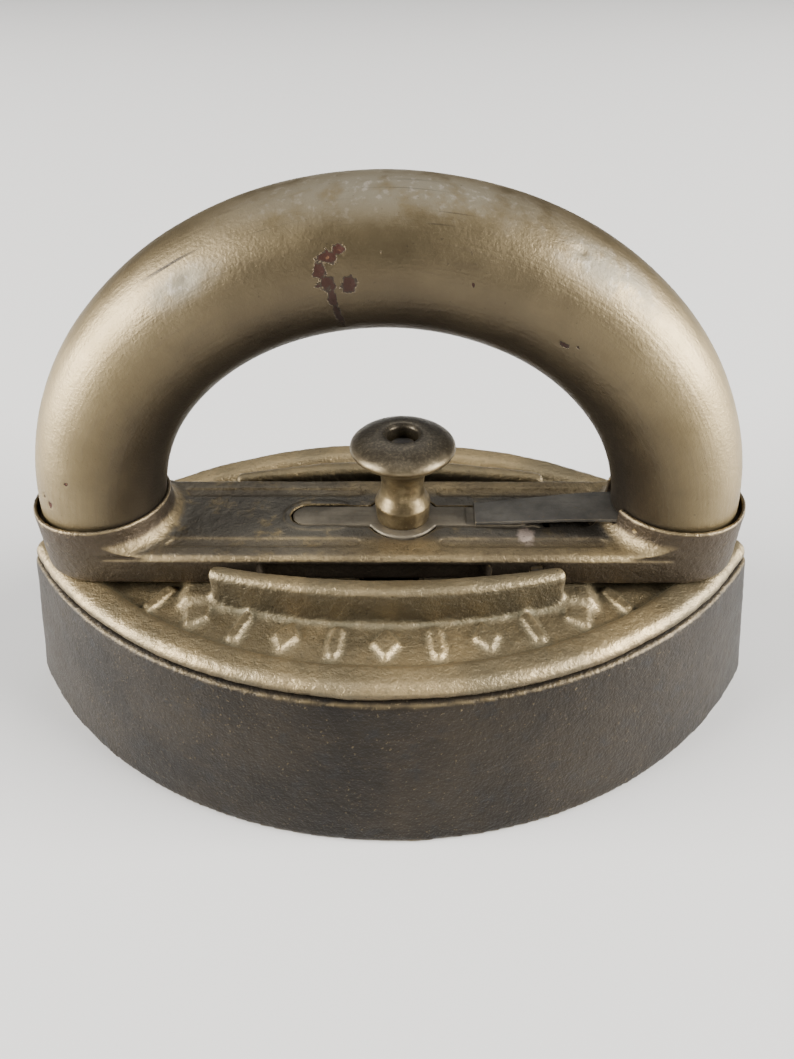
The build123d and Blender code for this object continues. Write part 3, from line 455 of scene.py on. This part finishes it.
def add_object(name, mesh, material, body, slot, *nodes):
    """Shows a piece in place of its CAD nodes, on the body that they ride on."""
    piece = bpy.data.objects.new(name, mesh)
    bpy.context.scene.collection.objects.link(piece)
    mesh.materials.clear()
    mesh.materials.append(material)
    for polygon in mesh.polygons:
        polygon.use_smooth = True
    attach(piece, body)
    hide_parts(*nodes)
    return piece


def rough(point, size, seed):
    """Smooth noise about size metres across, from about -1 to 1."""
    return noise.noise(point / size + Vector((seed, 7.3 * seed, 3.1)))


def cast_mesh(node, voxel, softening, lumps, sand, seed, flat_below=None):
    """A copy of a CAD node as it comes from the sand: edges softened, faces slightly uneven.
    lumps and sand are the heights of the broad and the fine unevenness, in metres."""
    mesh = NODES[node].data.copy()
    shell = bmesh.new()
    shell.from_mesh(mesh)
    bmesh.ops.remove_doubles(shell, verts=shell.verts, dist=0.001 * MM)
    shell.to_mesh(mesh)
    shell.free()
    copy = bpy.data.objects.new(node + "_copy", mesh)
    bpy.context.scene.collection.objects.link(copy)
    remesh = copy.modifiers.new("remesh", "REMESH")
    remesh.mode = "VOXEL"
    remesh.voxel_size = voxel
    soften = copy.modifiers.new("soften", "SMOOTH")
    soften.factor = 0.5
    soften.iterations = softening
    depsgraph = bpy.context.evaluated_depsgraph_get()
    cast = bpy.data.meshes.new_from_object(copy.evaluated_get(depsgraph))
    bpy.data.objects.remove(copy)
    moved = []
    for vertex in cast.vertices:
        point = vertex.co
        offset = lumps * rough(point, 11 * MM, seed) + sand * rough(point, 1.7 * MM, seed + 5)
        if flat_below is not None and point.z < flat_below:
            offset = 0.0
        moved.append(point + vertex.normal * offset)
    for vertex, point in zip(cast.vertices, moved):
        vertex.co = point
    cast.update()
    return cast


def cut_off(mesh, end_x):
    """Cuts off what lies beyond end_x and closes the end."""
    shell = bmesh.new()
    shell.from_mesh(mesh)
    everything = shell.verts[:] + shell.edges[:] + shell.faces[:]
    cut = bmesh.ops.bisect_plane(
        shell, geom=everything, plane_co=(end_x, 0, 0), plane_no=(1, 0, 0), clear_outer=True
    )
    bmesh.ops.edgeloop_fill(shell, edges=[e for e in cut["geom_cut"] if isinstance(e, bmesh.types.BMEdge)])
    shell.to_mesh(mesh)
    shell.free()
    return mesh


# ---------------------------------------------------------------- grip

SPIGOT_END = grip_low.z
GRIP_RISE = 54.0 * MM
GRIP_CENTRE = grip_high.z - GRIP_RADIUS - GRIP_RISE
SPIGOT_RADIUS = 7.5 * MM
RINGS = 420
RING_POINTS = 160
FOOT_TILT_LENGTH = 9.0 * MM  # the foot is cut square to the iron and turns into the bow over this

# Marks as (degrees along the bow, degrees round it, half length, half width in mm).
# Along: 0 at the left foot, 180 at the right.  Round: 0 outside the bow, 90 at the front.
CHIPS = (
    (84.0, 69.0, 1.9, 1.2), (82.3, 73.0, 2.1, 1.7), (80.9, 81.0, 1.7, 2.6), (81.6, 91.0, 2.5, 2.1),
    (84.8, 94.0, 1.9, 1.9), (82.0, 105.0, 1.2, 2.6), (82.1, 117.0, 1.0, 3.0), (82.4, 130.0, 0.9, 2.6),
    (9.8, 55.0, 1.3, 0.7), (10.8, 48.0, 0.8, 0.8), (16.0, 74.0, 0.7, 0.5), (90.0, 71.0, 0.7, 0.4),
    (122.0, 105.0, 1.6, 0.5), (124.5, 102.0, 0.7, 0.4), (104.0, 88.0, 0.3, 0.5),
    (60.0, 262.0, 1.5, 1.0), (112.0, 285.0, 2.2, 1.5), (143.0, 250.0, 0.9, 0.8), (171.0, 300.0, 1.3, 0.6),
)
SCRATCHES = (
    (84.0, 22.0, 20.0, 5.5), (94.0, 56.0, 13.0, 2.4), (79.0, 42.0, 11.0, 2.6), (101.0, 40.0, 9.0, 2.0),
    (92.0, 345.0, 22.0, 6.0), (88.0, 300.0, 14.0, 3.0), (60.0, 40.0, 8.0, 2.0),
)
SCUFFS = (
    (92.0, 22.0, 34.0, 9.0), (99.0, 28.0, 9.0, 3.5), (88.0, 345.0, 30.0, 8.0), (60.0, 60.0, 10.0, 4.0),
    (122.0, 40.0, 16.0, 6.0), (100.0, 300.0, 18.0, 6.0),
)
DENTS = ((61.5, 58.0, 2.8, 1.8), (129.0, 98.0, 1.9, 1.7), (117.5, 39.0, 2.0, 1.4), (84.0, 86.0, 5.0, 4.0))
CHIP_DEPTH = 0.16 * MM
DENT_DEPTH = 0.28 * MM


def bow_point(turn):
    """The middle of the bow, turn degrees from its left end, and its outward direction."""
    a = math.radians(turn)
    centre = Vector((-GRIP_SPAN * math.cos(a), 0, GRIP_CENTRE + GRIP_RISE * math.sin(a)))
    along = Vector((GRIP_SPAN * math.sin(a), 0, GRIP_RISE * math.cos(a))).normalized()
    return centre, Vector((-along.z, 0, along.x))


def mark_field(marks, turn, around):
    """1 in the middle of the nearest mark, 0 at its edge and beyond."""
    best = 0.0
    for mark_turn, mark_around, half_length, half_width in marks:
        along = math.radians(turn - mark_turn) * GRIP_SPAN / MM
        across = math.radians((around - mark_around + 180) % 360 - 180) * GRIP_RADIUS / MM
        best = max(best, 1 - math.hypot(along / half_length, across / half_width))
    return best


def grip_mesh():
    """The bow: rings of points swept round the ellipse, then dented, chipped and slightly uneven."""
    first = math.degrees(math.asin((SEAT - GRIP_CENTRE) / GRIP_RISE))
    rings = [(first, SPIGOT_END, 1.0 * MM), (first, SPIGOT_END, SPIGOT_RADIUS), (first, SEAT, SPIGOT_RADIUS)]
    rings += [(first, SEAT, GRIP_RADIUS - 0.9 * MM), (first, SEAT + 0.25 * MM, GRIP_RADIUS - 0.3 * MM)]
    for i in range(RINGS + 1):
        rings.append((first + 0.4 + (180 - 2 * first - 0.8) * i / RINGS, None, GRIP_RADIUS))
    rings += [(180 - turn, level, radius) for turn, level, radius in reversed(rings[:5])]
    shape = bmesh.new()
    places = []
    wears = []
    loops = []
    for turn, level, radius in rings:
        centre, outward = bow_point(turn)
        if level is not None:
            centre.z = level
        lean = min(1.0, max(0.0, (centre.z - SEAT) / FOOT_TILT_LENGTH))
        outward = outward.lerp(Vector((math.copysign(1.0, centre.x), 0, 0)), 1 - lean).normalized()
        loop = []
        for j in range(RING_POINTS):
            around = 360.0 * j / RING_POINTS
            a = math.radians(around)
            direction = outward * math.cos(a) - Vector((0, math.sin(a), 0))
            if level is None:
                chip = mark_field(CHIPS, turn, around)
                scratch = mark_field(SCRATCHES, turn, around)
                scuff = mark_field(SCUFFS, turn, around)
                dent = mark_field(DENTS, turn, around)
            else:
                chip = scratch = scuff = dent = 0.0
            point = centre + direction * radius
            ragged = chip + 0.75 * rough(point, 1.4 * MM, 2)
            sunk = CHIP_DEPTH * min(1.0, max(0.0, (ragged - 0.42) * 6)) if chip > 0.02 else 0.0
            swell = 0.10 * MM * rough(point, 17 * MM, 4) + 0.015 * MM * rough(point, 4 * MM, 9)
            depth = sunk + DENT_DEPTH * dent * dent - (swell if level is None else 0.0)
            loop.append(shape.verts.new(point - direction * (depth + 0.12 * MM * (level is None))))
            across = (math.cos(a) * GRIP_RADIUS, math.sin(a) * GRIP_RADIUS)
            places.append((math.radians(turn) * GRIP_SPAN, *across))
            wears.append((chip, scratch, scuff))
        loops.append(loop)
    for one, two in zip(loops, loops[1:]):
        for j in range(RING_POINTS):
            k = (j + 1) % RING_POINTS
            shape.faces.new((one[j], one[k], two[k], two[j]))
    shape.faces.new(loops[0][::-1])
    shape.faces.new(loops[-1])
    bmesh.ops.recalc_face_normals(shape, faces=shape.faces)
    mesh = bpy.data.meshes.new("wooden_grip_painted")
    shape.to_mesh(mesh)
    shape.free()
    for name, values in (("grip_place", places), ("grip_wear", wears)):
        attribute = mesh.attributes.new(name, "FLOAT_VECTOR", "POINT")
        attribute.data.foreach_set("vector", [number for value in values for number in value])
    return mesh


# ---------------------------------------------------------------- pieces

body_finish = body_paint()
cap_finish = gilt_casting(
    "cap_paint", rgb(0.31, 0.236, 0.125), rgb(0.225, 0.175, 0.100), rgb(0.120, 0.106, 0.068), 0.45, 0.66
)
yoke_finish = gilt_casting(
    "yoke_paint", rgb(0.34, 0.262, 0.140), rgb(0.23, 0.180, 0.103), UMBER, 0.35, 0.90
)
grip_finish = painted_wood()
knob_finish = knob_paint(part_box("latch_knob")[1].z)
latch_finish = bare_steel(
    "latch_steel", rgb(0.185, 0.160, 0.118), rgb(0.085, 0.074, 0.056), 0.7, 0.42, (0.08, 1.0, 1.0)
)
spring_finish = bare_steel(
    "spring_steel", rgb(0.130, 0.120, 0.102), rgb(0.072, 0.067, 0.059), 0.7, 0.42, (0.05, 1.0, 1.0)
)
dark_finish = bare_steel(
    "dark_steel", rgb(0.15, 0.14, 0.13), rgb(0.06, 0.055, 0.05), 0.7, 0.42, (1.0, 1.0, 0.3)
)
plaster_finish = plaster()

add_object(
    "body_wall_and_sole",
    cast_mesh("body_casting", 0.72 * MM, 3, 0.14 * MM, 0.06 * MM, 1, flat_below=0.4 * MM),
    body_finish, "base", "body_paint", "body_casting",
)
add_object(
    "ornamented_cap", cast_mesh("cap_plate", 0.54 * MM, 3, 0.22 * MM, 0.09 * MM, 2),
    cap_finish, "base", "cap_paint", "cap_plate",
)
add_object(
    "yoke_bar_and_cups", cast_mesh("handle_yoke", 0.36 * MM, 4, 0.12 * MM, 0.06 * MM, 3),
    yoke_finish, "handle", "yoke_paint", "handle_yoke",
)
add_object("painted_bow_grip", grip_mesh(), grip_finish, "handle", "painted_wood", "wooden_grip")
add_object(
    "thumb_knob", cast_mesh("latch_knob", 0.2 * MM, 2, 0.06 * MM, 0.02 * MM, 4),
    knob_finish, "latch", "knob_paint", "latch_knob",
)
add_object(
    "hooked_latch_lever", cast_mesh("latch_lever", 0.22 * MM, 2, 0.04 * MM, 0.02 * MM, 5),
    latch_finish, "latch", "latch_steel", "latch_lever",
)
# The root of the blade is out of sight in the cup; it stops short, so that it clears the yoke as it turns.
SPRING_SHORTENING = 1.9 * MM
spring_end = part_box("leaf_spring")[1].x - SPRING_SHORTENING
add_object(
    "leaf_spring_blade",
    cut_off(cast_mesh("leaf_spring", 0.16 * MM, 1, 0.03 * MM, 0.01 * MM, 6), spring_end),
    spring_finish, "spring", "spring_steel", "leaf_spring",
)

CARRIED_OVER = {
    "insulating_fill": plaster_finish, "keeper_bracket": dark_finish, "keeper_rivets": dark_finish,
    "cap_bolt": dark_finish, "cap_bolt_washer": dark_finish, "left_grip_screw": dark_finish,
    "right_grip_screw": dark_finish, "latch_pivot_pin": dark_finish, "knob_rivet": dark_finish,
}
for node, finish in CARRIED_OVER.items():
    NODES[node].data.materials.clear()
    NODES[node].data.materials.append(finish)

# ---------------------------------------------------------------- floor, lights and camera

FLOOR_SIZE = 12.0


def floor():
    """A plain pale floor."""
    plane = bmesh.new()
    bmesh.ops.create_grid(plane, x_segments=1, y_segments=1, size=FLOOR_SIZE / 2)
    mesh = bpy.data.meshes.new("floor")
    plane.to_mesh(mesh)
    plane.free()
    surface_object = bpy.data.objects.new("floor", mesh)
    surface_object.location = (0, 0, cad_low.z - 0.05 * MM)
    bpy.context.scene.collection.objects.link(surface_object)
    material, _, surface = new_material("pale_floor", 0.0)
    surface.inputs["Base Color"].default_value = rgb(0.56, 0.555, 0.545)
    surface.inputs["Roughness"].default_value = 0.85
    mesh.materials.append(material)


def soft_light(name, place, target, size, power, colour):
    """A square area light that looks from one point at another."""
    data = bpy.data.lights.new(name, "AREA")
    data.size = size
    data.energy = power
    data.color = colour
    lamp = bpy.data.objects.new(name, data)
    lamp.location = place
    lamp.rotation_euler = (Vector(target) - Vector(place)).to_track_quat("-Z", "Y").to_euler()
    bpy.context.scene.collection.objects.link(lamp)


def overhead_light():
    """A broad even light from above and behind, which keeps the floor pale far out."""
    data = bpy.data.lights.new("overhead", "SUN")
    data.energy = 1.7
    data.angle = math.radians(70)
    lamp = bpy.data.objects.new("overhead", data)
    lamp.rotation_euler = Vector((0.05, -0.30, -1.0)).to_track_quat("-Z", "Y").to_euler()
    bpy.context.scene.collection.objects.link(lamp)


def camera():
    """The view from in front and above, slightly right of the middle."""
    data = bpy.data.cameras.new("camera")
    data.sensor_width = 36.0
    data.lens = 36.0 * 795 / 1059
    eye = bpy.data.objects.new("camera", data)
    right = Vector((0.9999, 0.0118, -0.0073)).normalized()
    forward = Vector((-0.01375, 0.78841, -0.61500)).normalized()
    up = right.cross(forward).normalized()
    right = forward.cross(up)
    turn = Matrix((right, up, -forward)).transposed().to_4x4()
    eye.matrix_world = Matrix.Translation((0.00404, -0.12969, 0.14132)) @ turn
    data.clip_start = 0.01
    bpy.context.scene.collection.objects.link(eye)
    bpy.context.scene.camera = eye


floor()
middle = (cad_low + cad_high) / 2
soft_light("left_window", (-2.4, -0.54, 0.85), middle, 1.65, 300.0, (1.0, 0.98, 0.95))
soft_light("right_window", (2.4, -0.48, 0.92), middle, 1.65, 350.0, (1.0, 0.98, 0.95))
overhead_light()
world = bpy.data.worlds.new("studio")
world.use_nodes = True
world.node_tree.nodes["Background"].inputs["Color"].default_value = rgb(0.80, 0.84, 0.90)
world.node_tree.nodes["Background"].inputs["Strength"].default_value = 0.07
bpy.context.scene.world = world
camera()
